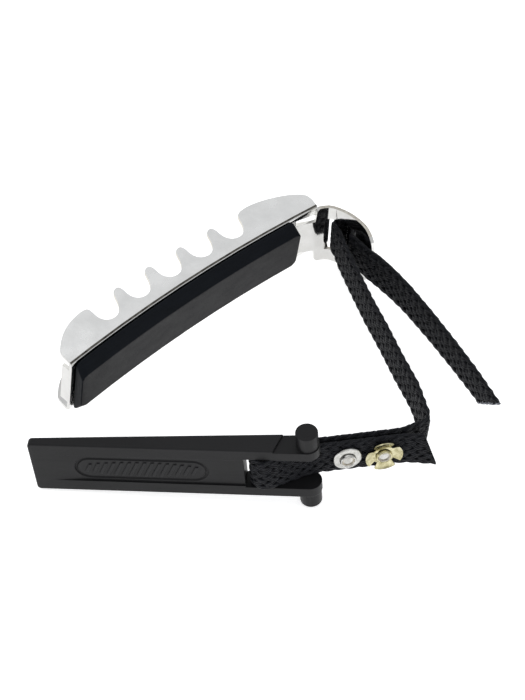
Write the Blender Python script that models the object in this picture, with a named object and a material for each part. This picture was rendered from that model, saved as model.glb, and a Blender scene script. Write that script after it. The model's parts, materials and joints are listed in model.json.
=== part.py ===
"""Toggle capo for a guitar, lying on its side: a stamped steel bar with five peg notches, a rubber
string pad, a woven strap threaded through the bar's hook, and a moulded lever looped on the strap.

Units are metres inside Blender; the driving sizes below are in millimetres and are converted by MM.
"""

import math

import bmesh
import bpy
from mathutils import Matrix, Vector

MM = 0.001

# Stamped bar, in its own frame: x along the bar from the plain end to the hook, y from the pad
# towards the teeth, z across the channel.
SHEET = 0.8
BAR_LENGTH = 76.0
CHANNEL_HALF_WIDTH = 7.8
FOLD_RADIUS = 1.2
ARCH_RADIUS = 406.0
NOTCH_COUNT = 5
NOTCH_PITCH = 9.75
FIRST_NOTCH = 16.2
WEB_END = 70.5

# Edge of a flange: distance along the bar and height above the arched web. One notch is measured
# from its own middle, and its neighbours' ends join it at the round tips of the teeth.
PLAIN_EAR = (
    (0.0, 1.2),
    (0.25, 3.6),
    (0.5, 4.35),
    (1.5, 5.3),
    (2.5, 6.15),
    (4.0, 7.15),
    (5.5, 7.92),
    (7.0, 8.47),
    (8.5, 8.83),
    (10.0, 9.05),
    (11.5, 9.15),
)
NOTCH_PROFILE = (
    (-3.65, 9.05),
    (-3.25, 8.92),
    (-2.94, 8.6),
    (-2.78, 8.1),
    (-2.76, 7.4),
    (-2.84, 6.3),
    (-2.76, 5.2),
    (-2.38, 4.3),
    (-1.8, 3.62),
    (-1.0, 3.2),
    (0.0, 3.05),
    (1.0, 3.2),
    (1.85, 3.68),
    (2.55, 4.35),
    (3.08, 5.1),
    (3.6, 6.05),
    (4.08, 7.2),
    (4.5, 8.1),
    (4.98, 8.68),
    (5.6, 8.98),
)
HOOK_EAR = (
    (61.5, 9.22),
    (63.5, 9.4),
    (65.0, 9.3),
    (67.0, 9.05),
    (69.0, 8.62),
    (71.0, 8.05),
    (73.0, 7.35),
    (74.5, 6.7),
    (76.0, 5.85),
    (76.9, 5.2),
    (77.5, 4.5),
    (77.75, 3.7),
    (77.65, 2.4),
    (77.3, 1.2),
)
EAR_CUT = ((77.1, 5.1), (WEB_END, 6.3))
END_WALL_HEIGHT = 3.0
END_WALL_HALF_WIDTH = 5.2

# Neck and hook: the web narrows, then a round-ended tongue bends down past the pad's side.
HOOK_SHEET = 0.9
NECK_HALF_WIDTH = 4.7
HOOK_HALF_WIDTH = 8.6
HOOK_CORNER = 5.0
HOOK_STEP = 75.3
HOOK_PROFILE = (
    (66.0, 1.2),
    (70.5, 0.86),
    (72.4, 0.3),
    (74.8, -0.9),
    (77.2, -1.75),
    (79.0, -3.05),
    (80.1, -5.4),
    (80.7, -8.5),
    (80.4, -12.5),
    (79.6, -16.2),
)
HOOK_TURN_START = 70.5
HOOK_TURN = 0.093
TABLE_X_IN_BAR = (0.6878, -0.7156, 0.1219)
SLOT_HALF_WIDTH = 5.0
RUN_SLOT = (-4.9, -2.6)
TAIL_SLOT = (-10.0, -7.5)

# Rubber string pad under the web.
PAD_START = 0.9
PAD_END = 69.9
PAD_UNDERCUT = 1.0
PAD_END_ROUNDING = 1.6
PAD_THICKNESS = 2.9
PAD_TOP_HALF_WIDTH = 7.5
PAD_FACE_HALF_WIDTH = 4.9
GAP = 0.3

# Woven strap.
STRAP_WIDTH = 8.9
STRAP_THICKNESS = 1.4
RUN_START_UP = (0.08, 0.0, 1.0)
RUN_END_UP = (0.06, 0.0, 1.0)
TAIL_START_UP = (0.13, 0.0, 1.0)
TAIL_END_UP = (-0.08, 0.0, 1.0)
TAIL_CUT_POINT = (49.7, -18.5, 8.0)
TAIL_CUT_NORMAL = (0.32, -0.70, -0.74)
LAP_CUT_POINT = (34.4, -2.3, 0.0)
LAP_CUT_NORMAL = (0.93, 0.0, 0.36)

# Lever, in its own frame: x from the tip to the fork, y through its thickness away from the
# panelled face, z across its width.
LEVER_WIDTH = 15.1
LEVER_TIP_THICKNESS = 2.0
LEVER_FORK_THICKNESS = 5.2
PEG_X = 58.7
PEG_RADIUS = 2.37
PEG_LENGTH = 3.69
ARM_RECESS = 0.5
ARM_RECESS_FRONT = 51.3
ARM_RECESS_BACK = 54.6
FORK_GAP = 9.3
SLOT_ROOT = 45.3
PANEL_START = 4.6
PANEL_RAMP_END = 11.5
PANEL_HALF_HEIGHT = 4.2
PANEL_DEPTH = 0.35
BADGE_CENTRE = 23.5
BADGE_HALF_LENGTH = 14.3
BADGE_HALF_HEIGHT = 3.4
BADGE_DEPTH = 0.3
PIN_X = 50.5
PIN_RADIUS = 1.5
PIN_SEAT = 1.6

# Riveted lap of the strap, in its own frame: x from the pin along the strap, y towards the back
# layer, z along the pin.
LAP_ANGLE_DEG = 16.7
LAP_DROOP_DEG = 7.0
LAYER_OFFSET = 0.85
LOOP_RADIUS = PIN_RADIUS + 0.5 + STRAP_THICKNESS / 2
LOOP_SLACK = 1.2
LOOP_END = 10.2
LAP_FLAT_END = 28.0
ROUND_RIVET_X = 16.3
LOBED_RIVET_X = 24.1
WASHER_THICKNESS = 0.5
WASHER_BORE = 1.35
SHANK_RADIUS = 1.1
ROUND_WASHER_RADIUS = 3.1
LOBE_RADIUS = 4.0
LOBE_ROOT_RADIUS = 2.7
FIT_GAP = 0.15
FOLD_CENTRE = (32.9, 4.4)
FOLD_BEND_RADIUS = 2.2
FOLD_START_UP = (-0.02, 0.0, 1.0)

# Routes of the strap's two free stretches on the table: x, y and the height of its middle. Each
# starts at the hook; the run ends where the strap folds into its lap.
RUN_ROUTE = (
    (17.85, 29.9, 9.35),
    (18.6, 26.4, 9.3),
    (21.1, 18.2, 9.2),
    (24.25, 8.2, 9.25),
    (27.3, -0.5, 9.4),
    (30.1, -9.3, 9.6),
    (33.1, -17.8, 9.85),
    (34.7, -25.05, 9.95),
)
TAIL_ROUTE = (
    (25.6, 23.4, 8.45),
    (27.6, 21.0, 8.45),
    (30.4, 17.3, 8.45),
    (33.4, 12.8, 8.4),
    (38.2, 4.4, 8.3),
    (42.8, -4.2, 8.15),
    (47.0, -12.5, 8.0),
    (51.3, -22.1, 7.9),
)

# Rest pose on the table.
FOOTPRINT_CENTRE = (1.178, -1.811)
BAR_ORIGIN = (-41.0, -21.32, 16.38)
BAR_AZIMUTH_DEG = 46.35
BAR_LEAN_DEG = 7.0
LEVER_ORIGIN = (-48.36, -35.7, 0.0)
LEVER_AZIMUTH_DEG = -5.2
LEVER_RISE_DEG = 3.75

STEEL = ("nickel_steel", (0.83, 0.83, 0.82), 0.12, 1.0)
RUBBER = ("black_rubber", (0.035, 0.035, 0.037), 0.75, 0.0)
WEBBING = ("black_webbing", (0.018, 0.019, 0.022), 0.85, 0.0)
NYLON = ("black_nylon", (0.045, 0.045, 0.047), 0.45, 0.0)
SILVER = ("silver_rivet", (0.80, 0.80, 0.77), 0.22, 1.0)
BRASS = ("pale_brass", (0.80, 0.74, 0.58), 0.25, 1.0)


def clear_scene():
    for item in list(bpy.data.objects):
        bpy.data.objects.remove(item, do_unlink=True)


def material(spec):
    name, colour, roughness, metallic = spec
    made = bpy.data.materials.get(name) or bpy.data.materials.new(name)
    made.use_nodes = True
    shader = made.node_tree.nodes["Principled BSDF"]
    shader.inputs["Base Color"].default_value = (*colour, 1.0)
    shader.inputs["Roughness"].default_value = roughness
    shader.inputs["Metallic"].default_value = metallic
    made.diffuse_color = (*colour, 1.0)
    return made


def table_frame():
    """Axes of the table, with the middle of the footprint as the origin."""
    return Matrix.Translation(Vector((-FOOTPRINT_CENTRE[0], -FOOTPRINT_CENTRE[1], 0.0)) * MM)


def bar_frame():
    """Axes of the bar on the table: across leans from upright, along keeps its azimuth."""
    lean = math.radians(BAR_LEAN_DEG)
    turn = math.radians(BAR_AZIMUTH_DEG)
    across = Vector((math.sin(lean), 0.0, math.cos(lean)))
    along = Vector((math.cos(turn), math.sin(turn), -math.tan(lean) * math.cos(turn))).normalized()
    up = across.cross(along)
    return table_frame() @ frame_matrix(along, up, across, Vector(BAR_ORIGIN))


def lever_frame():
    """Axes of the lever: it rises towards the fork, because a peg holds that end off the table."""
    turn = Matrix.Rotation(math.radians(LEVER_AZIMUTH_DEG), 3, "Z")
    rise = Matrix.Rotation(-math.radians(LEVER_RISE_DEG), 3, "Y")
    axes = turn @ rise
    return table_frame() @ frame_matrix(axes.col[0], axes.col[1], axes.col[2], Vector(LEVER_ORIGIN))


def loop_frame():
    """Axes of the strap in the lever's fork, centred on the pin at the middle of the lever's width."""
    pin = Matrix.Translation(Vector((PIN_X, pin_depth(), LEVER_WIDTH / 2)) * MM)
    return lever_frame() @ pin @ Matrix.Rotation(math.radians(LAP_ANGLE_DEG), 4, "Z")


def lap_frame():
    """Axes of the riveted lap: as the loop's, but drooping from where the strap leaves the fork."""
    there = Matrix.Translation(Vector((LOOP_END, 0.0, 0.0)) * MM)
    droop = Matrix.Rotation(math.radians(LAP_DROOP_DEG), 4, "Y")
    return loop_frame() @ there @ droop @ there.inverted()


def frame_matrix(x_axis, y_axis, z_axis, origin_mm):
    made = Matrix.Identity(4)
    for column, axis in enumerate((x_axis, y_axis, z_axis)):
        for row in range(3):
            made[row][column] = axis[row]
    made.translation = origin_mm * MM
    return made


def pin_depth():
    """Depth of the pin's axis below the panelled face: the middle of the fork's round end."""
    return LEVER_FORK_THICKNESS / 2


def add_object(name, mesh_data, spec, frame, smooth_deg=40.0):
    """Turn a bmesh in millimetres into an object in the given frame."""
    bmesh.ops.scale(mesh_data, vec=(MM, MM, MM), verts=mesh_data.verts)
    bmesh.ops.recalc_face_normals(mesh_data, faces=mesh_data.faces)
    mesh = bpy.data.meshes.new(name)
    mesh_data.to_mesh(mesh)
    mesh_data.free()
    mesh.materials.append(material(spec))
    mesh.shade_smooth()
    mesh.set_sharp_from_angle(angle=math.radians(smooth_deg))
    item = bpy.data.objects.new(name, mesh)
    item.matrix_world = frame
    bpy.context.scene.collection.objects.link(item)
    return item


def combine(target, helper, operation):
    """Join or cut target with a helper object, which is then left out of the model."""
    modifier = target.modifiers.new(helper.name, "BOOLEAN")
    modifier.operation = operation
    modifier.object = helper
    modifier.solver = "EXACT"
    helper.hide_render = True
    helper.display_type = "WIRE"


def prism(outline, low, high):
    """Closed solid from a flat outline in x and y, between two heights."""
    made = bmesh.new()
    face = made.faces.new([made.verts.new((x, y, low)) for x, y in outline])
    walls = bmesh.ops.extrude_face_region(made, geom=[face])
    top = [item for item in walls["geom"] if isinstance(item, bmesh.types.BMVert)]
    bmesh.ops.translate(made, vec=(0.0, 0.0, high - low), verts=top)
    return made


def box(low, high):
    outline = ((low[0], low[1]), (high[0], low[1]), (high[0], high[1]), (low[0], high[1]))
    return prism(outline, low[2], high[2])


def arc(centre, radius, start_deg, end_deg, steps):
    """Points along a circular arc, both ends included."""
    points = []
    for step in range(steps + 1):
        angle = math.radians(start_deg + (end_deg - start_deg) * step / steps)
        points.append((centre[0] + radius * math.cos(angle), centre[1] + radius * math.sin(angle)))
    return points


def rod(centre, radius, low, high, sides=24):
    return prism(arc(centre, radius, 0.0, 360.0 * (sides - 1) / sides, sides - 1), low, high)


def curve_point(points, where):
    """Point on the smooth curve through the given points; where runs from 0 to len(points) - 1."""
    last = len(points) - 1
    start = min(int(where), last - 1)
    t = where - start
    before = points[max(start - 1, 0)]
    first, second = points[start], points[start + 1]
    after = points[min(start + 2, last)]
    weights = (
        (-t + 2 * t**2 - t**3) / 2,
        (2 - 5 * t**2 + 3 * t**3) / 2,
        (t + 4 * t**2 - 3 * t**3) / 2,
        (t**3 - t**2) / 2,
    )
    corners = (before, first, second, after)
    return tuple(
        sum(weight * corner[axis] for weight, corner in zip(weights, corners))
        for axis in range(len(first))
    )


def smooth(points, per_span=4):
    count = (len(points) - 1) * per_span
    return [curve_point(points, step / per_span) for step in range(count + 1)]


def ribbon(path, width, thickness, start_up=(0, 0, 1), end_up=(0, 0, 1), round_start=False):
    """Closed strip of rectangular section along a path; its width turns from start_up to end_up."""
    points = [Vector((*point, 0.0)) if len(point) == 2 else Vector(point) for point in path]
    made = bmesh.new()
    rings = []
    last = len(points) - 1
    for index, here in enumerate(points):
        heading = (points[min(index + 1, last)] - points[max(index - 1, 0)]).normalized()
        up = Vector(start_up).lerp(Vector(end_up), index / last)
        up = (up - up.dot(heading) * heading).normalized()
        side = up.cross(heading) * thickness / 2
        rise = up * width / 2
        if index == 0 and round_start:
            for angle_deg in (20.0, 40.0, 65.0):
                angle = math.radians(angle_deg)
                back = heading * thickness / 2 * math.cos(angle)
                rings.append(ring_of(made, here - back, side * math.sin(angle), rise))
        rings.append(ring_of(made, here, side, rise))
    bridge(made, rings)
    return made


def ring_of(made, centre, side, rise):
    corners = (centre + side - rise, centre + side + rise, centre - side + rise, centre - side - rise)
    return [made.verts.new(corner) for corner in corners]


def bridge(made, rings):
    """Walls between neighbouring rings, and a cap on the first and on the last."""
    for one, two in zip(rings, rings[1:]):
        for side in range(len(one)):
            other = (side + 1) % len(one)
            made.faces.new((one[side], one[other], two[other], two[side]))
    made.faces.new(rings[0])
    made.faces.new(rings[-1])


def trim(made, point, normal):
    """Cut away what lies beyond a plane and close the cut."""
    bmesh.ops.triangulate(made, faces=made.faces)
    geometry = made.verts[:] + made.edges[:] + made.faces[:]
    cut = bmesh.ops.bisect_plane(
        made, geom=geometry, plane_co=Vector(point), plane_no=Vector(normal), clear_outer=True
    )
    rim = [item for item in cut["geom_cut"] if isinstance(item, bmesh.types.BMEdge)]
    bmesh.ops.holes_fill(made, edges=rim)


def arch(x):
    """Rise of the arched bar above the chord between its ends."""
    middle = BAR_LENGTH / 2
    return math.sqrt(ARCH_RADIUS**2 - (x - middle) ** 2) - math.sqrt(ARCH_RADIUS**2 - middle**2)


def web_half_width():
    return CHANNEL_HALF_WIDTH - FOLD_RADIUS


def fold_end():
    """Distance across the flat blank from its centre line to the end of the fold."""
    return web_half_width() + FOLD_RADIUS * math.pi / 2


def flange_outline():
    """Toothed edge of one flange, from the plain end to the hook end."""
    points = list(PLAIN_EAR)
    for index in range(NOTCH_COUNT):
        centre = FIRST_NOTCH + NOTCH_PITCH * index
        points += [(centre + x, y) for x, y in NOTCH_PROFILE]
    return points + list(HOOK_EAR)


def flat_blank():
    """Outline of the channel before folding: x along the bar, y across web and flanges."""
    one_side = [(x, fold_end() + y - FOLD_RADIUS) for x, y in flange_outline()]
    one_side += EAR_CUT
    return one_side + [(x, -y) for x, y in reversed(one_side)]


def fold_channel(x, across, depth):
    """Place of a blank point after the flanges are folded up and the bar is arched."""
    beyond = abs(across) - web_half_width()
    side = math.copysign(1.0, across)
    if beyond <= 0.0:
        return x, depth + arch(x), across
    angle = min(beyond / FOLD_RADIUS, math.pi / 2)
    inner = FOLD_RADIUS - depth
    straight = max(0.0, beyond - FOLD_RADIUS * math.pi / 2)
    rise = FOLD_RADIUS - inner * math.cos(angle) + straight
    return x, rise + arch(x), side * (web_half_width() + inner * math.sin(angle))


def split_at(made, axis, stations):
    """Cut a mesh's faces along planes so that it can be bent there."""
    for station in stations:
        normal = Vector((0.0, 0.0, 0.0))
        normal[axis] = 1.0
        geometry = made.verts[:] + made.edges[:] + made.faces[:]
        bmesh.ops.bisect_plane(made, geom=geometry, plane_co=normal * station, plane_no=normal, dist=1e-5)


def bend(made, shape):
    for vertex in made.verts:
        vertex.co = Vector(shape(*vertex.co))
    made.normal_update()
    bmesh.ops.triangulate(made, faces=made.faces)


def make_channel():
    made = prism(flat_blank(), 0.0, SHEET)
    split_at(made, 0, [7.0 + 9.0 * step for step in range(8)])
    fold_steps = 4
    for side in (-1, 1):
        for step in range(fold_steps + 1):
            share = step / fold_steps
            across = web_half_width() + share * FOLD_RADIUS * math.pi / 2
            split_at(made, 1, [side * (across + 1e-3)])
    bend(made, fold_channel)
    return made


def hook_path():
    return smooth(HOOK_PROFILE, 4)


def hook_place(distance, across, depth):
    """Place of a hook blank point: distance along the profile, depth measured from mid-sheet."""
    path = hook_path()
    left = distance
    for one, two in zip(path, path[1:]):
        step = math.dist(one, two)
        if left <= step or two is path[-1]:
            break
        left -= step
    heading = ((two[0] - one[0]) / step, (two[1] - one[1]) / step)
    x = one[0] + heading[0] * left - heading[1] * depth
    y = one[1] + heading[1] * left + heading[0] * depth
    share = min(max((x - HOOK_TURN_START) / (HOOK_STEP - HOOK_TURN_START), 0.0), 1.0)
    return turned_upright(x, y, across, share)


def turned_upright(x, y, across, share=1.0):
    """The hook is bent upright on the table although the bar leans: its lower edge stands out."""
    shift = share * HOOK_TURN * (SLOT_HALF_WIDTH - across)
    way = TABLE_X_IN_BAR
    return x + shift * way[0], y + shift * way[1], across + shift * way[2]


def profile_distance(limit_x):
    """Length of the hook profile up to the first point past the given x."""
    total = 0.0
    path = hook_path()
    for one, two in zip(path, path[1:]):
        if one[0] >= limit_x:
            return total
        total += math.dist(one, two)
    return total


def hook_length():
    path = hook_path()
    return sum(math.dist(one, two) for one, two in zip(path, path[1:]))


def make_hook():
    """Neck and tongue with round corners, bent along the hook profile."""
    step = profile_distance(HOOK_STEP)
    corner = (hook_length() - HOOK_CORNER, HOOK_HALF_WIDTH - HOOK_CORNER)
    upper = [(0.0, NECK_HALF_WIDTH), (step, NECK_HALF_WIDTH)]
    upper += [(step + 0.3, HOOK_HALF_WIDTH - 0.8), (step + 1.0, HOOK_HALF_WIDTH)]
    upper += arc(corner, HOOK_CORNER, 90.0, 0.0, 8)
    outline = upper + [(x, -y) for x, y in reversed(upper)]
    made = prism(outline, -HOOK_SHEET / 2, HOOK_SHEET / 2)
    stations = []
    total = 0.0
    path = hook_path()
    for one, two in zip(path, path[1:]):
        total += math.dist(one, two)
        stations.append(total)
    split_at(made, 0, stations[:-1])
    bend(made, hook_place)
    return made


def make_bar():
    frame = bar_frame()
    bar = add_object("clamp_bar", make_channel(), STEEL, frame)
    hook = add_object("hook_blank", make_hook(), STEEL, frame)
    wall = box((0.0, 0.1, -END_WALL_HALF_WIDTH), (SHEET, END_WALL_HEIGHT, END_WALL_HALF_WIDTH))
    end_wall = add_object("end_wall_blank", wall, STEEL, frame)
    for (low, high), name in ((RUN_SLOT, "run_slot"), (TAIL_SLOT, "tail_slot")):
        cutter = box((77.5, low, -SLOT_HALF_WIDTH), (84.0, high, SLOT_HALF_WIDTH))
        bend(cutter, turned_upright)
        combine(hook, add_object(name, cutter, STEEL, frame), "DIFFERENCE")
    combine(bar, hook, "UNION")
    combine(bar, end_wall, "UNION")


def make_pad():
    """Rubber pad: a tapered bar under the web, with rounded ends, cut back under the hook."""
    made = bmesh.new()
    rings = []
    inner_start = PAD_START + PAD_END_ROUNDING
    inner_end = PAD_END - PAD_END_ROUNDING
    stations = [PAD_START, PAD_START + 0.5]
    stations += [inner_start + (inner_end - inner_start) * step / 8 for step in range(9)]
    stations += [PAD_END - 0.5, PAD_END]
    ease = {0: 1.0, 1: 0.45, 2: 0.0}
    for index, x in enumerate(stations):
        shy = ease.get(min(index, len(stations) - 1 - index), 0.0)
        top = arch(x) - GAP
        top_half = PAD_TOP_HALF_WIDTH - 0.8 * shy
        top_x = x - PAD_UNDERCUT * max(0.0, (x - inner_end) / PAD_END_ROUNDING)
        face = arch(x) - PAD_THICKNESS + 0.3 * shy
        face_half = PAD_FACE_HALF_WIDTH - 1.0 * shy
        section = (
            (top_x, top, -top_half),
            (top_x, top - 0.5, -top_half),
            (x, face, -face_half),
            (x, face, face_half),
            (top_x, top - 0.5, top_half),
            (top_x, top, top_half),
        )
        rings.append([made.verts.new(corner) for corner in section])
    bridge(made, rings)
    bmesh.ops.triangulate(made, faces=made.faces)
    add_object("string_pad", made, RUBBER, bar_frame())


def lever_side():
    """Side view of the lever: a wedge whose fork end is round about the pegs."""
    radius = LEVER_FORK_THICKNESS / 2
    points = [(0.3, 0.0)]
    points += arc((PEG_X, radius), radius, -90.0, 90.0, 10)
    points += [(0.3, LEVER_TIP_THICKNESS), (0.0, LEVER_TIP_THICKNESS - 0.3), (0.0, 0.3)]
    return points


def stadium(centre, half_length, half_height, steps=8):
    straight = half_length - half_height
    right = arc((centre[0] + straight, centre[1]), half_height, -90.0, 90.0, steps)
    left = arc((centre[0] - straight, centre[1]), half_height, 90.0, 270.0, steps)
    return right + left


def make_lever():
    frame = lever_frame()
    middle = LEVER_WIDTH / 2
    lever = add_object("toggle_lever", prism(lever_side(), 0.0, LEVER_WIDTH), NYLON, frame)
    slot = box((SLOT_ROOT, -2.0, middle - FORK_GAP / 2), (70.0, 8.0, middle + FORK_GAP / 2))
    combine(lever, add_object("fork_slot", slot, NYLON, frame), "DIFFERENCE")
    recess_outline = (
        (ARM_RECESS_FRONT, -1.0),
        (70.0, -1.0),
        (70.0, 8.0),
        (ARM_RECESS_BACK, 8.0),
    )
    recess = prism(recess_outline, LEVER_WIDTH - ARM_RECESS, LEVER_WIDTH + 1.0)
    combine(lever, add_object("upper_recess", recess, NYLON, frame), "DIFFERENCE")
    peg_centre = (PEG_X, pin_depth())
    for name, low, high in (
        ("lower_peg", -PEG_LENGTH, 1.0),
        ("upper_peg", LEVER_WIDTH - ARM_RECESS - 1.0, LEVER_WIDTH + PEG_LENGTH),
    ):
        combine(lever, add_object(name, rod(peg_centre, PEG_RADIUS, low, high), NYLON, frame), "UNION")
    panel_outline = (
        (PANEL_START, -1.0),
        (SLOT_ROOT + 1.0, -1.0),
        (SLOT_ROOT + 1.0, PANEL_DEPTH),
        (PANEL_RAMP_END, PANEL_DEPTH),
        (PANEL_START, 0.0),
    )
    panel = prism(panel_outline, middle - PANEL_HALF_HEIGHT, middle + PANEL_HALF_HEIGHT)
    combine(lever, add_object("panel_recess", panel, NYLON, frame), "DIFFERENCE")
    combine(lever, badge_ring(frame, middle), "DIFFERENCE")
    seat = rod(
        (PIN_X, pin_depth()),
        PIN_RADIUS + FIT_GAP,
        middle - FORK_GAP / 2 - PIN_SEAT,
        middle + FORK_GAP / 2 + PIN_SEAT,
    )
    combine(lever, add_object("pin_seat", seat, NYLON, frame), "DIFFERENCE")
    half = FORK_GAP / 2 + PIN_SEAT - FIT_GAP
    pin = rod((PIN_X, pin_depth()), PIN_RADIUS, middle - half, middle + half)
    add_object("strap_pin", pin, STEEL, frame)


def badge_ring(frame, middle):
    """Plain oval groove in the panel: an outer stadium with a smaller one left standing inside."""
    turn = Matrix.Translation((0.0, 0.0, middle * MM)) @ Matrix.Rotation(math.radians(90.0), 4, "X")
    place = frame @ turn
    low, high = -PANEL_DEPTH - BADGE_DEPTH, 1.0
    outer = prism(stadium((BADGE_CENTRE, 0.0), BADGE_HALF_LENGTH, BADGE_HALF_HEIGHT), low, high)
    inner = prism(
        stadium((BADGE_CENTRE, 0.0), BADGE_HALF_LENGTH - 0.7, BADGE_HALF_HEIGHT - 0.7), low - 1.0, high + 1.0
    )
    ring = add_object("badge_groove", outer, NYLON, place)
    combine(ring, add_object("badge_island", inner, NYLON, place), "DIFFERENCE")
    return ring


def make_hook_wrap():
    """Strap through the hook: out by the upper slot, round the crossbar, and back by the lower slot."""
    path = smooth(
        (
            (77.95, -6.6),
            (78.2, -5.3),
            (78.8, -4.1),
            (79.9, -3.7),
            (81.1, -4.0),
            (81.9, -5.3),
            (82.05, -6.9),
            (81.75, -8.2),
            (80.75, -8.85),
            (79.7, -9.0),
            (79.1, -9.9),
            (79.05, -11.2),
            (79.0, -12.6),
            (78.65, -14.6),
            (78.4, -15.7),
        ),
        3,
    )
    upright = [turned_upright(*point, 0.0) for point in path]
    width_way = Vector((0.0, 0.0, 1.0)) - HOOK_TURN * Vector(TABLE_X_IN_BAR)
    wrap = ribbon(upright, STRAP_WIDTH, STRAP_THICKNESS, width_way, width_way)
    add_object("strap_hook_wrap", wrap, WEBBING, bar_frame())


def make_run_and_tail():
    """The strap's two free stretches, which twist a little along their length."""
    run = ribbon(smooth(RUN_ROUTE, 3), STRAP_WIDTH, STRAP_THICKNESS, RUN_START_UP, RUN_END_UP)
    add_object("strap_run", run, WEBBING, table_frame())
    tail_path = smooth(TAIL_ROUTE, 3)
    tail = ribbon(
        tail_path, STRAP_WIDTH, STRAP_THICKNESS, TAIL_START_UP, TAIL_END_UP, round_start=True
    )
    trim(tail, TAIL_CUT_POINT, TAIL_CUT_NORMAL)
    add_object("strap_tail", tail, WEBBING, table_frame())


def loop_path():
    """Strap round the pin: in from the back layer, round the pin's far side, out to the front."""
    back = [(LOOP_END, LAYER_OFFSET), (7.4, 1.0)]
    around = arc((-LOOP_SLACK, 0.0), LOOP_RADIUS, 76.0, 284.0, 14)
    return back + around + [(x, -y) for x, y in reversed(back)]


def fold_path():
    """Strap turning from the back layer to the run: a short straight, the bend, and its rounded end."""
    bend_end = arc(FOLD_CENTRE, FOLD_BEND_RADIUS, -90.0, 0.0, 6)
    return [(31.5, 1.85)] + bend_end + [(FOLD_CENTRE[0] + FOLD_BEND_RADIUS, 4.9)]


def rivet_hole(name, x, frame):
    """Round hole through both strap layers at a rivet."""
    turn = Matrix.Rotation(math.radians(90.0), 4, "X")
    hole = rod((x, 0.0), WASHER_BORE, -4.0, 4.0, 16)
    return add_object(name, hole, WEBBING, frame @ turn)


def make_lap():
    frame = lap_frame()
    loop = ribbon(loop_path(), STRAP_WIDTH, STRAP_THICKNESS)
    add_object("strap_loop", loop, WEBBING, loop_frame())
    start = LOOP_END + GAP + STRAP_WIDTH / 2 * math.sin(math.radians(LAP_DROOP_DEG))
    back = smooth(((start, LAYER_OFFSET), (LAP_FLAT_END, LAYER_OFFSET), (29.4, 1.15), (31.2, 1.75)), 4)
    front = smooth(((start, -LAYER_OFFSET), (LAP_FLAT_END, -LAYER_OFFSET), (31.2, -1.3), (36.0, -2.6)), 3)
    fold_route = list(reversed(fold_path()))
    fold = ribbon(fold_route, STRAP_WIDTH, STRAP_THICKNESS, FOLD_START_UP, round_start=True)
    add_object("strap_fold", fold, WEBBING, frame)
    for name, path in (("strap_lap_back", back), ("strap_lap_front", front)):
        strip = ribbon(path, STRAP_WIDTH, STRAP_THICKNESS)
        if name == "strap_lap_front":
            trim(strip, LAP_CUT_POINT, LAP_CUT_NORMAL)
        layer = add_object(name, strip, WEBBING, frame)
        for label, x in (("round", ROUND_RIVET_X), ("lobed", LOBED_RIVET_X)):
            combine(layer, rivet_hole(f"{name}_{label}_hole", x, frame), "DIFFERENCE")
    make_rivets(frame)


def turned(profile, steps=20):
    """Solid of revolution about z from a profile of (radius, height), closed on the axis."""
    made = bmesh.new()
    rings = []
    for radius, height in profile:
        if radius == 0.0:
            rings.append([made.verts.new((0.0, 0.0, height))])
            continue
        angles = [2 * math.pi * step / steps for step in range(steps)]
        rings.append([made.verts.new((radius * math.cos(a), radius * math.sin(a), height)) for a in angles])
    for one, two in zip(rings, rings[1:]):
        for step in range(steps):
            nxt = (step + 1) % steps
            corners = [one[step % len(one)], one[nxt % len(one)], two[nxt % len(two)], two[step % len(two)]]
            unique = list(dict.fromkeys(corners))
            made.faces.new(unique)
    return made


def lobed_outline(steps_per_lobe=6):
    """Edge of a washer with four wide lobes and a small round gap between neighbours."""
    points = []
    for lobe in range(4):
        middle = 90.0 * lobe + 8.0
        points += arc((0.0, 0.0), LOBE_RADIUS, middle - 27.0, middle + 27.0, steps_per_lobe)
        points += arc((0.0, 0.0), LOBE_ROOT_RADIUS, middle + 36.0, middle + 54.0, 2)
    return points


def make_washer(name, outline, spec, place):
    low = LAYER_OFFSET + STRAP_THICKNESS / 2 + FIT_GAP
    washer = add_object(name, prism(outline, low, low + WASHER_THICKNESS), spec, place)
    bore = add_object(name + "_bore", rod((0.0, 0.0), WASHER_BORE, 0.0, 6.0, 16), spec, place)
    combine(washer, bore, "DIFFERENCE")


def make_rivets(frame):
    """Two rivets through the lap, each with a washer on the front and on the back."""
    face = LAYER_OFFSET + STRAP_THICKNESS / 2 + 2 * FIT_GAP + WASHER_THICKNESS
    profile = (
        (0.0, face + 0.75),
        (0.8, face + 0.7),
        (1.4, face + 0.5),
        (1.8, face + 0.15),
        (1.8, face),
        (SHANK_RADIUS, face),
        (SHANK_RADIUS, -face),
        (1.8, -face),
        (1.6, -face - 0.4),
        (0.0, -face - 0.45),
    )
    washer_edge = arc((0.0, 0.0), ROUND_WASHER_RADIUS, 0.0, 345.0, 23)
    for label, x, edge, spec in (
        ("round", ROUND_RIVET_X, washer_edge, SILVER),
        ("lobed", LOBED_RIVET_X, lobed_outline(), BRASS),
    ):
        front = frame @ Matrix.Translation((x * MM, 0.0, 0.0)) @ Matrix.Rotation(math.radians(90.0), 4, "X")
        back = front @ Matrix.Rotation(math.radians(180.0), 4, "X")
        add_object(f"{label}_rivet", turned(profile), SILVER, front)
        make_washer(f"{label}_washer_front", edge, spec, front)
        make_washer(f"{label}_washer_back", washer_edge, SILVER, back)


def main():
    clear_scene()
    make_bar()
    make_pad()
    make_hook_wrap()
    make_run_and_tail()
    make_lap()
    make_lever()


main()
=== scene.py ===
"""Looks of the strap capo: satin nickel bar with a rubber pad, braided strap, moulded lever and
riveted lap, on a pale floor under soft studio light.

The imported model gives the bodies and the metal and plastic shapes. The strap is one flat braid of
sixteen strands, laid out here along the route that its solids follow and cut into the pieces that
move with each body. Lengths below are millimetres unless a name says otherwise; MM converts them.
"""

import json
import math

import bmesh
import bpy
import numpy as np
from mathutils import Matrix, Vector

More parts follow.
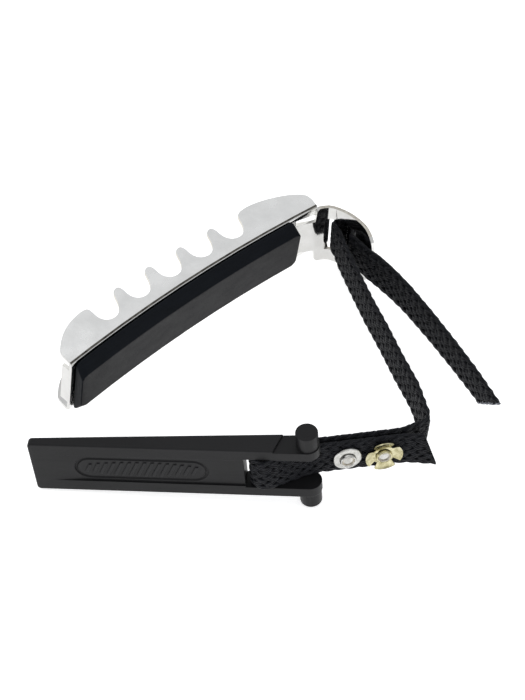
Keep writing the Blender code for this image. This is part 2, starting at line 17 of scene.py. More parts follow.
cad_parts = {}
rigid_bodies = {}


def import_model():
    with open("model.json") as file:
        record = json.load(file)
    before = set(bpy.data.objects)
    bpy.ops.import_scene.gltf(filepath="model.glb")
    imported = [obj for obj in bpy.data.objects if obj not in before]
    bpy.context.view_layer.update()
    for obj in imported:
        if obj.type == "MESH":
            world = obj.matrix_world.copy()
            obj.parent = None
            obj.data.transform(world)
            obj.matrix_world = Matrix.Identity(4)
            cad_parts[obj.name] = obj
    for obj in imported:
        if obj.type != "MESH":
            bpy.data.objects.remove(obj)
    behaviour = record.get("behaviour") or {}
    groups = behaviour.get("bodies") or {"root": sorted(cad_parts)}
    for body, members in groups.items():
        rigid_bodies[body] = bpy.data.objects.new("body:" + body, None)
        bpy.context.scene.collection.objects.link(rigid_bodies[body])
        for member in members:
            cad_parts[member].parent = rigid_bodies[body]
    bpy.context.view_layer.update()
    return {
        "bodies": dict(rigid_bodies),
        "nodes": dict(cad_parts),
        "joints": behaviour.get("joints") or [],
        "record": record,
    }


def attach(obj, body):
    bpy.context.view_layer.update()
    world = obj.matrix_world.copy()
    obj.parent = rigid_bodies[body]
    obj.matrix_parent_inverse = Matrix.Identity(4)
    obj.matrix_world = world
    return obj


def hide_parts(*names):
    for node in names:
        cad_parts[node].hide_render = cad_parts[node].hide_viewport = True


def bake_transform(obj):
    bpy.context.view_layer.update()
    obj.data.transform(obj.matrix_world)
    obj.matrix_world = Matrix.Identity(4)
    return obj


MM = 0.001

# Camera: at the object's footprint centre, looking down at this angle from the front.
CAMERA_PLACE = (-0.001178, -0.256473, 0.291854)
CAMERA_TARGET = (-0.001178, 0.001811, 0.005)
CAMERA_LENS = 87.43

# Frames of the bar, the lever and the strap's lap, as the CAD model lays them on the table.
FOOTPRINT_CENTRE = (1.178, -1.811)
BAR_ORIGIN = (-41.0, -21.32, 16.38)
BAR_AZIMUTH_DEG = 46.35
BAR_LEAN_DEG = 7.0
LEVER_ORIGIN = (-48.36, -35.7, 0.0)
LEVER_AZIMUTH_DEG = -5.2
LEVER_RISE_DEG = 3.75
LEVER_WIDTH = 15.1
LEVER_TIP_THICKNESS = 2.0
LEVER_FORK_THICKNESS = 5.2
PIN_PLACE = (50.5, 2.6, LEVER_WIDTH / 2)
PEG_X = 58.7
PEG_RADIUS = 2.37
PEG_LENGTH = 3.69
ARM_RECESS = 0.5
ARM_RECESS_FRONT = 51.3
ARM_RECESS_BACK = 54.6
LEVER_BEYOND = 70.0
FORK_GAP = 9.3
SLOT_ROOT = 45.3
PANEL_START = 4.6
PANEL_RAMP_END = 11.5
PANEL_HALF_HEIGHT = 4.2
PANEL_DEPTH = 0.35
BADGE_CENTRE = 23.5
BADGE_HALF_LENGTH = 14.3
BADGE_HALF_HEIGHT = 3.4
GROOVE_RADIUS = 0.35
GROOVE_SIDES = 10
RIB_COUNT = 15
RIB_PITCH = 1.62
RIB_REACH = 13.4
RIB_HALF_WIDTH = 0.36
PIN_SEAT_RADIUS = 1.65
PIN_SEAT_REACH = 6.25

# Regions of the bar, in its own frame, that take different finishes.
END_WALL_DEPTH = 1.2
NECK_START = 70.3
NECK_HALF_HEIGHT = 4.9
FLANGE_INNER = 6.0
FOLD_OUTER = 6.5
NARROW_FACE = 0.1

# Rivets along the lap, and the heights of their heads and washers.
RIVET_PLACES = (("round", 16.3), ("lobed", 24.1))
RIVET_FACE = 2.35
LAP_ANGLE_DEG = 16.7
LAP_DROOP_DEG = 7.0
LOOP_END = 10.2

# Route of the strap, from the cut front end of its lap round the pin, back, along to the hook,
# through it and out to the free tail.
LAYER_OFFSET = 0.85
LAP_START = 11.05
LAP_FRONT = ((36.0, -2.6), (31.2, -1.3), (28.0, -LAYER_OFFSET), (LAP_START, -LAYER_OFFSET))
LOOP_RADIUS = 2.7
LOOP_SLACK = 1.2
LAP_BACK = ((LAP_START, LAYER_OFFSET), (28.0, LAYER_OFFSET), (29.4, 1.15), (31.2, 1.75))
FOLD_CENTRE = (32.9, 4.4)
FOLD_BEND_RADIUS = 2.2
FOLD_UP = (-0.02, 0.0, 1.0)
RUN_ROUTE = (
    (34.7, -25.05, 9.95),
    (33.1, -17.8, 9.85),
    (30.1, -9.3, 9.6),
    (27.3, -0.5, 9.4),
    (24.25, 8.2, 9.25),
    (21.1, 18.2, 9.2),
    (18.6, 26.4, 9.3),
    (17.85, 29.9, 9.35),
)
RUN_START_UP = (0.06, 0.0, 1.0)
RUN_END_UP = (0.08, 0.0, 1.0)
HOOK_TURN = 0.093
TABLE_X_IN_BAR = (0.6878, -0.7156, 0.1219)
SLOT_HALF_WIDTH = 5.0
HOOK_ROUTE = (
    (77.95, -6.6),
    (78.2, -5.3),
    (78.8, -4.1),
    (79.9, -3.7),
    (81.1, -4.0),
    (81.9, -5.3),
    (82.05, -6.9),
    (81.75, -8.2),
    (80.75, -8.85),
    (79.7, -9.0),
    (79.1, -9.9),
    (79.05, -11.2),
    (79.0, -12.6),
    (78.65, -14.6),
    (78.4, -15.7),
)
TAIL_ROUTE = (
    (25.6, 23.4, 8.45),
    (27.6, 21.0, 8.45),
    (30.4, 17.3, 8.45),
    (33.4, 12.8, 8.4),
    (38.2, 4.4, 8.3),
    (42.8, -4.2, 8.15),
    (47.0, -12.5, 8.0),
    (51.3, -22.1, 7.9),
)
TAIL_START_UP = (0.13, 0.0, 1.0)
TAIL_END_UP = (-0.08, 0.0, 1.0)
TAIL_CUT_POINT = (49.7, -18.5, 8.0)
TAIL_CUT_NORMAL = (0.32, -0.70, -0.74)
LAP_CUT_POINT = (34.4, -2.3, 0.0)
LAP_CUT_NORMAL = (0.93, 0.0, 0.36)

# The braid.
STEP = 0.42
STRANDS = 16
YARNS = 2
STRAP_WIDTH = 9.2
STRAND_WIDTH = 1.0
TRAVERSE = 21.0
WEAVE_HEIGHT = 0.40
YARN_HALF_WIDTH = 0.28
YARN_HALF_HEIGHT = 0.33
YARN_SIDES = 6
MELTED_LENGTH = 0.45


def matrix_of(x_axis, y_axis, z_axis, origin):
    made = Matrix.Identity(4)
    for column, axis in enumerate((x_axis, y_axis, z_axis)):
        for row in range(3):
            made[row][column] = axis[row]
    made.translation = Vector(origin)
    return made


def table_frame():
    return Matrix.Translation(Vector((-FOOTPRINT_CENTRE[0], -FOOTPRINT_CENTRE[1], 0.0)))


def bar_frame():
    lean, turn = math.radians(BAR_LEAN_DEG), math.radians(BAR_AZIMUTH_DEG)
    across = Vector((math.sin(lean), 0.0, math.cos(lean)))
    along = Vector((math.cos(turn), math.sin(turn), -math.tan(lean) * math.cos(turn))).normalized()
    return table_frame() @ matrix_of(along, across.cross(along), across, BAR_ORIGIN)


def lever_frame():
    turn = Matrix.Rotation(math.radians(LEVER_AZIMUTH_DEG), 3, "Z")
    axes = turn @ Matrix.Rotation(-math.radians(LEVER_RISE_DEG), 3, "Y")
    return table_frame() @ matrix_of(axes.col[0], axes.col[1], axes.col[2], LEVER_ORIGIN)


def loop_frame():
    turn = Matrix.Rotation(math.radians(LAP_ANGLE_DEG), 4, "Z")
    return lever_frame() @ Matrix.Translation(Vector(PIN_PLACE)) @ turn


def lap_frame():
    there = Matrix.Translation(Vector((LOOP_END, 0.0, 0.0)))
    return loop_frame() @ there @ Matrix.Rotation(math.radians(LAP_DROOP_DEG), 4, "Y") @ there.inverted()


# Materials -----------------------------------------------------------------------------------


class Shader:
    """A node tree with short calls for the few nodes that the finishes use."""

    def __init__(self, name, **values):
        self.material = bpy.data.materials.new(name)
        self.material.use_nodes = True
        self.tree = self.material.node_tree
        self.surface = self.tree.nodes["Principled BSDF"]
        for key, value in values.items():
            self.surface.inputs[key.replace("_", " ")].default_value = value

    def node(self, kind, **settings):
        made = self.tree.nodes.new(kind)
        for key, value in settings.items():
            setattr(made, key, value)
        return made

    def link(self, source, target):
        self.tree.links.new(source, target)
        return source

    def place(self, scale=(1.0, 1.0, 1.0), frame=None):
        """Object coordinates, turned into a piece's own axes where a frame is given."""
        here = self.node("ShaderNodeTexCoord").outputs["Object"]
        if frame is not None:
            turn = self.node("ShaderNodeMapping", vector_type="TEXTURE")
            turn.inputs["Rotation"].default_value = frame.to_euler()
            self.link(here, turn.inputs["Vector"])
            here = turn.outputs["Vector"]
        mapping = self.node("ShaderNodeMapping")
        mapping.inputs["Scale"].default_value = scale
        self.link(here, mapping.inputs["Vector"])
        return mapping.outputs["Vector"]

    def noise(self, where, scale, detail=4.0, roughness=0.55, distortion=0.0):
        made = self.node("ShaderNodeTexNoise")
        made.inputs["Scale"].default_value = scale
        made.inputs["Detail"].default_value = detail
        made.inputs["Roughness"].default_value = roughness
        made.inputs["Distortion"].default_value = distortion
        self.link(where, made.inputs["Vector"])
        return made.outputs["Fac"]

    def ramp(self, value, low, high, start=0.3, end=0.7):
        """Values or colours from low to high as the input goes from start to end."""
        made = self.node("ShaderNodeValToRGB")
        first, last = made.color_ramp.elements
        first.position, last.position = start, end
        first.color = (*low, 1.0) if isinstance(low, tuple) else (low, low, low, 1.0)
        last.color = (*high, 1.0) if isinstance(high, tuple) else (high, high, high, 1.0)
        self.link(value, made.inputs["Fac"])
        return made.outputs["Color"]

    def mix(self, share, one, two):
        made = self.node("ShaderNodeMix", data_type="RGBA")
        if isinstance(share, float):
            made.inputs["Factor"].default_value = share
        else:
            self.link(share, made.inputs["Factor"])
        for socket, value in ((made.inputs[6], one), (made.inputs[7], two)):
            if isinstance(value, tuple):
                socket.default_value = (*value, 1.0)
            else:
                self.link(value, socket)
        return made.outputs[2]

    def bump(self, height, distance_mm, strength=1.0, under=None):
        made = self.node("ShaderNodeBump")
        made.inputs["Strength"].default_value = strength
        made.inputs["Distance"].default_value = distance_mm * MM
        self.link(height, made.inputs["Height"])
        if under is not None:
            self.link(under, made.inputs["Normal"])
        return made.outputs["Normal"]

    def set(self, socket, value):
        self.link(value, self.surface.inputs[socket])


def painted_edge_highlight_mask(shader, radius_mm):
    """1 along outside edges and 0 elsewhere, from the slope of the surface; it masks a painted highlight
    along the edges.
    """
    shape = shader.node("ShaderNodeNewGeometry").outputs["Pointiness"]
    return shader.ramp(shape, 0.0, 1.0, 0.5 + 0.02 / radius_mm, 0.5 + 0.08 / radius_mm)


def satin_nickel(frame):
    """Plated steel: nearly even, with faint rolling lines along the bar and small scuffs."""
    made = Shader("satin_nickel", Metallic=1.0, Specular_IOR_Level=0.5)
    along = made.place((40.0, 900.0, 900.0), frame)
    lines = made.noise(along, 1.0, 3.0)
    cloud = made.noise(made.place(), 180.0, 4.0, 0.6)
    scuffs = made.noise(made.place((1.0, 1.0, 1.0)), 1600.0, 2.0, 0.7)
    tone = made.mix(made.ramp(cloud, 0.0, 1.0, 0.35, 0.65), (0.83, 0.83, 0.815), (0.90, 0.90, 0.885))
    tone = made.mix(made.ramp(scuffs, 0.0, 0.25, 0.58, 0.72), tone, (0.95, 0.95, 0.94))
    made.set("Base Color", tone)
    made.set("Roughness", made.ramp(cloud, 0.20, 0.30, 0.3, 0.7))
    made.set("Normal", made.bump(lines, 0.004, 0.5, made.bump(scuffs, 0.002, 0.4)))
    return made.material


def bright_nickel(name, low, high):
    """The formed hook, end wall and folds: the same plating left glossy; on the folds its strips paint a
    bright reflection line, and a darker copy paints shade on the end wall's outer face.
    """
    made = Shader(name, Metallic=1.0, Specular_IOR_Level=0.5)
    cloud = made.noise(made.place(), 260.0, 3.0, 0.5)
    fine = made.noise(made.place(), 2400.0, 2.0, 0.6)
    made.set("Base Color", made.ramp(cloud, low, high))
    made.set("Roughness", made.ramp(cloud, 0.05, 0.12))
    made.set("Normal", made.bump(fine, 0.0015, 0.3))
    return made.material


def sheared_steel():
    """The sheet's cut edge, where the punch left a brownish, torn grain."""
    made = Shader("sheared_steel", Metallic=1.0, Specular_IOR_Level=0.5)
    grain = made.noise(made.place((1.0, 1.0, 1.0)), 1500.0, 4.0, 0.7)
    made.set("Base Color", made.ramp(grain, (0.42, 0.39, 0.33), (0.74, 0.71, 0.65)))
    made.set("Roughness", made.ramp(grain, 0.25, 0.45))
    made.set("Normal", made.bump(grain, 0.02, 0.6))
    return made.material


def dark_fold_reflection_and_edge():
    """Dark finish for the start of the fold, a painted dark reflection line there; the end wall's narrow
    edges take it too.
    """
    made = Shader("dark_fold_reflection_and_edge", Metallic=1.0, Specular_IOR_Level=0.5)
    marks = made.noise(made.place(), 700.0, 3.0, 0.6)
    made.set("Base Color", made.ramp(marks, (0.035, 0.032, 0.028), (0.16, 0.15, 0.13)))
    made.set("Roughness", made.ramp(marks, 0.22, 0.38))
    made.set("Normal", made.bump(marks, 0.004, 0.4))
    return made.material


def rubber(name, low, high, rough, grain_mm, gloss, frame):
    """Moulded rubber: a dull bloom over fine grain, drawn out a little along the pad."""
    made = Shader(name, Specular_IOR_Level=gloss)
    streak = made.noise(made.place((150.0, 900.0, 420.0), frame), 1.0, 5.0, 0.65)
    grain = made.noise(made.place(), 3200.0, 3.0, 0.6)
    bloom = made.noise(made.place(), 220.0, 4.0, 0.6)
    tone = made.mix(made.ramp(streak, 0.0, 1.0, 0.3, 0.72), low, high)
    tone = made.mix(made.ramp(bloom, 0.0, 0.35, 0.45, 0.75), tone, high)
    made.set("Base Color", tone)
    made.set("Roughness", made.ramp(grain, rough - 0.08, rough + 0.1))
    made.set("Normal", made.bump(grain, grain_mm, 0.7, made.bump(streak, grain_mm * 1.5, 0.5)))
    return made.material


def moulded_nylon(frame):
    """Glass-filled nylon: dark grey satin, faint flow marks along the lever and fine pitting, with a
    painted highlight that lightens its outside edges.
    """
    made = Shader("moulded_nylon", Specular_IOR_Level=0.17)
    flow = made.noise(made.place((60.0, 260.0, 260.0), frame), 1.0, 4.0, 0.6, 0.8)
    pits = made.noise(made.place(), 3600.0, 3.0, 0.7)
    edge = painted_edge_highlight_mask(made, 1.0)
    tone = made.ramp(flow, (0.0055, 0.0055, 0.0060), (0.0092, 0.0092, 0.0098))
    # Outside edges are painted lighter: a painted highlight along them.
    tone = made.mix(edge, tone, (0.014, 0.014, 0.015))
    made.set("Base Color", tone)
    made.set("Roughness", made.ramp(pits, 0.36, 0.50))
    made.set("Normal", made.bump(pits, 0.012, 0.5, made.bump(flow, 0.02, 0.25)))
    return made.material


def braid_yarn():
    """Spun polyester: near black, with fibres twisted round each yarn and a dull sheen."""
    made = Shader(
        "braid_yarn",
        Specular_IOR_Level=0.13,
        Sheen_Weight=0.03,
        Sheen_Roughness=0.45,
    )
    where = made.node("ShaderNodeUVMap", uv_map="yarn").outputs["UV"]
    twist = made.node("ShaderNodeMapping")
    twist.inputs["Rotation"].default_value = (0.0, 0.0, math.radians(14.0))
    twist.inputs["Scale"].default_value = (1.1, 3.6, 1.0)
    made.link(where, twist.inputs["Vector"])
    fibre = made.noise(twist.outputs["Vector"], 1.6, 3.0, 0.6)
    cloud = made.noise(made.place(), 420.0, 3.0, 0.6)
    lint = made.noise(made.place(), 2600.0, 2.0, 0.7)
    strokes = made.ramp(fibre, 0.0, 1.0, 0.40, 0.62)
    tone = made.mix(strokes, (0.0010, 0.0012, 0.0020), (0.0145, 0.0155, 0.0190))
    tone = made.mix(made.ramp(cloud, 0.0, 0.55, 0.4, 0.7), tone, (0.004, 0.0048, 0.0075))
    tone = made.mix(made.ramp(lint, 0.0, 0.20, 0.70, 0.78), tone, (0.12, 0.12, 0.13))
    made.set("Base Color", tone)
    made.set("Roughness", made.ramp(fibre, 0.62, 0.46))
    made.set("Normal", made.bump(fibre, 0.05, 0.8))
    return made.material


def melted_ends():
    """Yarn ends fused by a hot knife: grey, glassy beads among charred ones."""
    made = Shader("melted_ends", Specular_IOR_Level=0.6)
    beads = made.noise(made.place(), 1900.0, 3.0, 0.7)
    made.set("Base Color", made.ramp(beads, (0.02, 0.022, 0.028), (0.42, 0.44, 0.50), 0.42, 0.62))
    made.set("Roughness", made.ramp(beads, 0.5, 0.2))
    made.set("Normal", made.bump(beads, 0.08, 0.9))
    return made.material


def small_metal(name, low, high, rough):
    """Plated rivets and washers, with tumbling marks."""
    made = Shader(name, Metallic=1.0, Specular_IOR_Level=0.5)
    marks = made.noise(made.place(), 900.0, 4.0, 0.65)
    fine = made.noise(made.place(), 3800.0, 2.0, 0.6)
    made.set("Base Color", made.ramp(marks, low, high, 0.35, 0.65))
    made.set("Roughness", made.ramp(marks, rough, rough + 0.14))
    made.set("Normal", made.bump(fine, 0.004, 0.6, made.bump(marks, 0.02, 0.35)))
    return made.material


# Meshes --------------------------------------------------------------------------------------


def new_object(name, mesh, materials):
    for material in materials:
        mesh.materials.append(material)
    made = bpy.data.objects.new(name, mesh)
    bpy.context.scene.collection.objects.link(made)
    return made


def applied(item):
    """The object's mesh with its modifiers applied."""
    bpy.context.view_layer.update()
    graph = bpy.context.evaluated_depsgraph_get()
    mesh = bpy.data.meshes.new_from_object(item.evaluated_get(graph))
    item.modifiers.clear()
    item.data = mesh
    return mesh


def finished(item, smooth_deg=38.0):
    """Apply an object's modifiers and shade it smooth between sharp edges, flat faces staying flat."""
    mesh = applied(item)
    mesh.shade_smooth()
    mesh.set_sharp_from_angle(angle=math.radians(smooth_deg))
    weighted = item.modifiers.new("flat_faces", "WEIGHTED_NORMAL")
    weighted.keep_sharp = True
    applied(item)
    return item


def refined(nodes, node, bevel, segments=2, limit_deg=42.0):
    """A copy of a CAD node with its flat faces whole again and its sharp edges rounded."""
    made = bmesh.new()
    made.from_mesh(nodes[node].data)
    bmesh.ops.remove_doubles(made, verts=made.verts, dist=2e-6)
    bmesh.ops.dissolve_limit(
        made, angle_limit=math.radians(0.4), verts=made.verts, edges=made.edges
    )
    mesh = bpy.data.meshes.new(node + "_finish")
    made.to_mesh(mesh)
    made.free()
    item = new_object(node + "_finish", mesh, ())
    rounding = item.modifiers.new("rounding", "BEVEL")
    rounding.width = bevel * MM
    rounding.segments = segments
    rounding.limit_method = "ANGLE"
    rounding.angle_limit = math.radians(limit_deg)
    rounding.use_clamp_overlap = True
    return finished(item)


def paint(item, chooser, materials):
    """Give each face the material whose number the chooser returns for it."""
    item.data.materials.clear()
    for material in materials:
        item.data.materials.append(material)
    for face in item.data.polygons:
        face.material_index = chooser(face)


def turned(name, profile, frame, materials, steps=56):
    """Solid of revolution about a frame's z from (radius, height) points, closed on the axis."""
    made = bmesh.new()
    rings = []
    for radius, height in profile:
        if radius == 0.0:
            rings.append([made.verts.new(frame @ Vector((0.0, 0.0, height)) * MM)])
            continue
        ring = []
        for step in range(steps):
            angle = 2 * math.pi * step / steps
            point = Vector((radius * math.cos(angle), radius * math.sin(angle), height))
            ring.append(made.verts.new(frame @ point * MM))
        rings.append(ring)
    for one, two in zip(rings, rings[1:]):
        for step in range(steps):
            nxt = (step + 1) % steps
            corners = [one[step % len(one)], one[nxt % len(one)]]
            corners += [two[nxt % len(two)], two[step % len(two)]]
            made.faces.new(list(dict.fromkeys(corners)))
    bmesh.ops.recalc_face_normals(made, faces=made.faces)
    mesh = bpy.data.meshes.new(name)
    made.to_mesh(mesh)
    made.free()
    return finished(new_object(name, mesh, materials), 50.0)


def arc(centre, radius, start_deg, end_deg, steps):
    sweep = end_deg - start_deg
    angles = [math.radians(start_deg + sweep * step / steps) for step in range(steps + 1)]
    return [(centre[0] + radius * math.cos(a), centre[1] + radius * math.sin(a)) for a in angles]


# Strap ---------------------------------------------------------------------------------------


def strap_stations():
    """Points along the middle of the whole strap and the direction of its width at each, with the
    names of the stretches that they belong to."""
    bar, lap, loop, table = bar_frame(), lap_frame(), loop_frame(), table_frame()
    upright = Vector((0.0, 0.0, 1.0))
    rows = []

    def add(part, frame, points, first_up=upright, last_up=upright, up_frame=None):
        turn = (up_frame or frame).to_3x3()
        for index, point in enumerate(points):
            share = index / max(len(points) - 1, 1)
            up = (turn @ Vector(first_up).lerp(Vector(last_up), share)).normalized()
            place = Vector((*point, 0.0)) if len(point) == 2 else Vector(point)
            rows.append((frame @ place, up, part))

    add("lap", lap, LAP_FRONT)
    around = arc((-LOOP_SLACK, 0.0), LOOP_RADIUS, 284.0, 76.0, 14)
    lead_in, lead_out = [(LOOP_END, -LAYER_OFFSET), (7.4, -1.0)], [(7.4, 1.0), (LOOP_END, LAYER_OFFSET)]
    add("lap", loop, lead_in + around + lead_out)
    add("lap", lap, LAP_BACK)
    bend = arc(FOLD_CENTRE, FOLD_BEND_RADIUS, -90.0, 0.0, 6)
    fold_exit = (FOLD_CENTRE[0] + FOLD_BEND_RADIUS, 4.9)
    add("fold", lap, [(31.6, 1.88)] + bend + [fold_exit], upright, FOLD_UP)
    add("run", table, RUN_ROUTE, RUN_START_UP, RUN_END_UP)
    sideways = Vector(TABLE_X_IN_BAR) * HOOK_TURN
    hook_up = upright - sideways
    hook_points = [Vector((*point, 0.0)) + sideways * SLOT_HALF_WIDTH for point in HOOK_ROUTE]
    add("hook", bar, hook_points, hook_up, hook_up)
    add("tail", table, TAIL_ROUTE, TAIL_START_UP, TAIL_END_UP)
    return rows


def resampled(rows):
    """The route at even steps, with its corners eased and its width turning smoothly."""
    places = np.array([row[0] for row in rows], float)
    ups = np.array([row[1] for row in rows], float)
    reach = np.concatenate([[0.0], np.cumsum(np.linalg.norm(np.diff(places, axis=0), axis=1))])
    count = int(reach[-1] / STEP) + 1
    at = np.linspace(0.0, reach[-1], count)
    places = np.stack([np.interp(at, reach, places[:, axis]) for axis in range(3)], axis=1)
    ups = np.stack([np.interp(at, reach, ups[:, axis]) for axis in range(3)], axis=1)
    for values, rounds in ((places, 5), (ups, 30)):
        for _ in range(rounds):
            values[1:-1] = 0.5 * values[1:-1] + 0.25 * (values[:-2] + values[2:])
    parts = [rows[int(np.searchsorted(reach, a, side="right")) - 1][2] for a in at]
    headings = np.gradient(places, axis=0)
    headings /= np.linalg.norm(headings, axis=1)[:, None]
    ups -= (ups * headings).sum(1)[:, None] * headings
    ups /= np.linalg.norm(ups, axis=1)[:, None]
    return at, places, ups, np.cross(ups, headings), parts


def strand_path(along, strand):
    """Place across the strap and height in it of one strand."""
    phase = (along + strand * 2 * TRAVERSE / STRANDS) / TRAVERSE
    turn = np.pi * (phase - 0.5)
    sharp = 0.992
    swing = np.arcsin(sharp * np.sin(turn)) / np.arcsin(sharp)
    reach = (STRAP_WIDTH - STRAND_WIDTH) / 2
    across = reach * swing
    column = (swing + 1) / 2 * STRANDS
    rising = np.where(np.cos(turn) >= 0, 1.0, -1.0)
    wave = np.tanh(1.2 * np.cos(np.pi / 2 * (column - 1.5))) / np.tanh(1.2)
    edge = np.clip(np.minimum(column, STRANDS - column) / 0.9, 0.0, 1.0)
    return across, WEAVE_HEIGHT * rising * wave * edge * edge * (3 - 2 * edge)


def braid_mesh(name, route, first, last):
    """Every strand's yarns between two stations of the route, each yarn a closed tube, with UVs that
    run along it and round it."""
    at, places, ups, sides = (values[first : last + 1] for values in route)
    points, faces, uvs = [], [], []
    ring = [2 * math.pi * side / YARN_SIDES for side in range(YARN_SIDES)]
    base = 0
    for strand in range(STRANDS):
        across, height = strand_path(at, strand)
        middle = places + ups * across[:, None] + sides * height[:, None]
        heading = np.gradient(middle, axis=0)
        heading /= np.linalg.norm(heading, axis=1)[:, None]
        out = sides - (sides * heading).sum(1)[:, None] * heading
        out /= np.linalg.norm(out, axis=1)[:, None]
        wide = np.cross(heading, out)
        for yarn in range(YARNS):
            offset = (yarn - (YARNS - 1) / 2) * (STRAND_WIDTH / YARNS)
            wander = 0.035 * np.sin(at * 1.9 + 2.1 * yarn + 0.7 * strand)
            crown = -0.05 * abs(offset) / STRAND_WIDTH * 2
            centre = middle + wide * (offset + wander)[:, None] + out * crown
            rows = [
                centre
                + wide * (YARN_HALF_WIDTH * math.cos(angle))
                + out * (YARN_HALF_HEIGHT * math.sin(angle))
                for angle in ring
            ]
            points.append(np.stack(rows, axis=1).reshape(-1, 3))
            length = len(at)
            for station in range(length - 1):
                for side in range(YARN_SIDES):
                    other = (side + 1) % YARN_SIDES
                    low, high = base + station * YARN_SIDES, base + (station + 1) * YARN_SIDES
                    faces.append((low + side, low + other, high + other, high + side))
                    shift = 1.7 * (strand * YARNS + yarn)
                    u0, u1 = at[station] + shift, at[station + 1] + shift
                    v0, v1 = side / YARN_SIDES, (side + 1) / YARN_SIDES
                    uvs += [u0, v0, u0, v1, u1, v1, u1, v0]
            for station, order in ((0, -1), (length - 1, 1)):
                low = base + station * YARN_SIDES
                faces.append(tuple(range(low, low + YARN_SIDES))[::order])
                uvs += [at[station], 0.0] * YARN_SIDES
            base += length * YARN_SIDES
    mesh = bpy.data.meshes.new(name)
    mesh.from_pydata((np.concatenate(points) * MM).tolist(), [], faces)
    layer = mesh.uv_layers.new(name="yarn")
    layer.data.foreach_set("uv", np.array(uvs, np.float32))
    mesh.shade_smooth()
    return mesh


def cut_end(mesh, frame, point, normal, cap_material):
    """Cut a braid off at a plane and close every yarn there."""
    made = bmesh.new()
    made.from_mesh(mesh)
    place = frame @ Vector(point) * MM
    facing = frame.to_3x3() @ Vector(normal)
    geometry = made.verts[:] + made.edges[:] + made.faces[:]
    cut = bmesh.ops.bisect_plane(made, geom=geometry, plane_co=place, plane_no=facing, clear_outer=True)
    rim = [item for item in cut["geom_cut"] if isinstance(item, bmesh.types.BMEdge)]
    filled = bmesh.ops.holes_fill(made, edges=rim)
    for face in filled["faces"]:
        face.smooth = False
    facing.normalize()
    for face in made.faces:
        if (face.calc_center_median() - place).dot(facing) > -MELTED_LENGTH * MM:
            face.material_index = cap_material
    bmesh.ops.recalc_face_normals(made, faces=made.faces)
    made.to_mesh(mesh)
    made.free()


def build_strap(yarn, melted):
    at, places, ups, sides, parts = resampled(strap_stations())
    route = (at, places, ups, sides)
    fold_end = parts.index("run")
    run_end = parts.index("hook")
    run_middle = (fold_end + run_end) // 2
    fold_start = parts.index("fold")
    lap_mesh = braid_mesh("strap_lap_braid", route, 0, fold_start)
    lap = new_object("strap_lap_braid", lap_mesh, (yarn, melted))
    cut_end(lap.data, lap_frame(), LAP_CUT_POINT, LAP_CUT_NORMAL, 0)
    fold_mesh = braid_mesh("strap_fold_braid", route, fold_start, run_middle)
    fold = new_object("strap_fold_braid", fold_mesh, (yarn,))
    run_mesh = braid_mesh("strap_run_braid", route, run_middle, run_end)
    run = new_object("strap_run_braid", run_mesh, (yarn,))
    tail_mesh = braid_mesh("strap_tail_braid", route, run_end, len(at) - 1)
    tail = new_object("strap_tail_braid", tail_mesh, (yarn, melted))
    cut_end(tail.data, table_frame(), TAIL_CUT_POINT, TAIL_CUT_NORMAL, 1)
    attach(lap, "lap")
    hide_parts("strap_lap_front", "strap_lap_back", "strap_loop")
    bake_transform(fold)
    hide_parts("strap_fold")
    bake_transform(run)
    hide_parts("strap_run")
    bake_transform(tail)
    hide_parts("strap_hook_wrap", "strap_tail")


# Metal, rubber and plastic pieces ------------------------------------------------------------


def build_bar(nodes, satin, bright, sheared, dark_line, wall):
    """The stamped bar: satin flanges and web, glossy hook and end wall, torn cut edges, with painted
    dark and bright reflection lines along the folds and painted shade on the end wall's outer face.
    """
    bar = refined(nodes, "clamp_bar", 0.12)
    inverse = bar_frame().inverted()
    turn = inverse.to_3x3()

    def narrow(face):
        corners = [bar.data.vertices[index].co for index in face.vertices]
        sides = zip(corners, corners[1:] + corners[:1])
        return min((one - two).length for one, two in sides) < NARROW_FACE * MM

    def finish_of(face):
        place = inverse @ (face.center / MM)
        facing = turn @ face.normal
        across = abs(facing.z)
        if place.x < END_WALL_DEPTH:
            # End wall: narrow edge strips take the dark line, the outward face the darker copy of the
            # plating as painted shade, the rest the glossy plating.
            return 3 if narrow(face) else 4 if facing.x < -0.5 else 1
        in_neck = abs(place.z) < NECK_HALF_HEIGHT and place.y < 1.4
        if place.x > NECK_START and (place.y < -0.3 or in_neck):
            return 2 if across > 0.75 and place.y < -1.2 else 1
        if place.z < -FLANGE_INNER and facing.z > 0.5:
            return 1
        if place.y > 3.0:
            return 2 if across < 0.3 else 0
        # On the folds the flatter strip takes the dark finish and the steeper strips the glossy one:
        # painted dark and bright reflection lines along the bend.
        if facing.y < -0.05 and abs(place.z) > FOLD_OUTER:
            return 3 if 0.7 < across < 0.9 else 1 if across < 0.7 else 0
        return 0

    paint(bar, finish_of, (satin, bright, sheared, dark_line, wall))
    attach(bar, "bar")
    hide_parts("clamp_bar")


def build_pad(nodes, side, face_material):
    pad = refined(nodes, "string_pad", 0.22, 3, 24.0)
    turn = bar_frame().inverted().to_3x3()
    paint(pad, lambda face: 1 if (turn @ face.normal).y < -0.93 else 0, (side, face_material))
    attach(pad, "bar")
    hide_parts("string_pad")


def prism(outline, low, high):
    """Closed solid from a flat outline in x and y, between two heights."""
    made = bmesh.new()
    face = made.faces.new([made.verts.new((x, y, low)) for x, y in outline])
    walls = bmesh.ops.extrude_face_region(made, geom=[face])
    top = [item for item in walls["geom"] if isinstance(item, bmesh.types.BMVert)]
    bmesh.ops.translate(made, vec=(0.0, 0.0, high - low), verts=top)
    bmesh.ops.recalc_face_normals(made, faces=made.faces)
    return made


def round_edges(made, chosen, offset, segments):
    edges = [edge for edge in made.edges if chosen(edge)]
    bmesh.ops.bevel(
        made,
        geom=edges,
        offset=offset,
        offset_type="OFFSET",
        segments=segments,
        profile=0.5,
        affect="EDGES",
    )


def is_sharp(edge):
    return len(edge.link_faces) == 2 and edge.calc_face_angle() > math.radians(35.0)


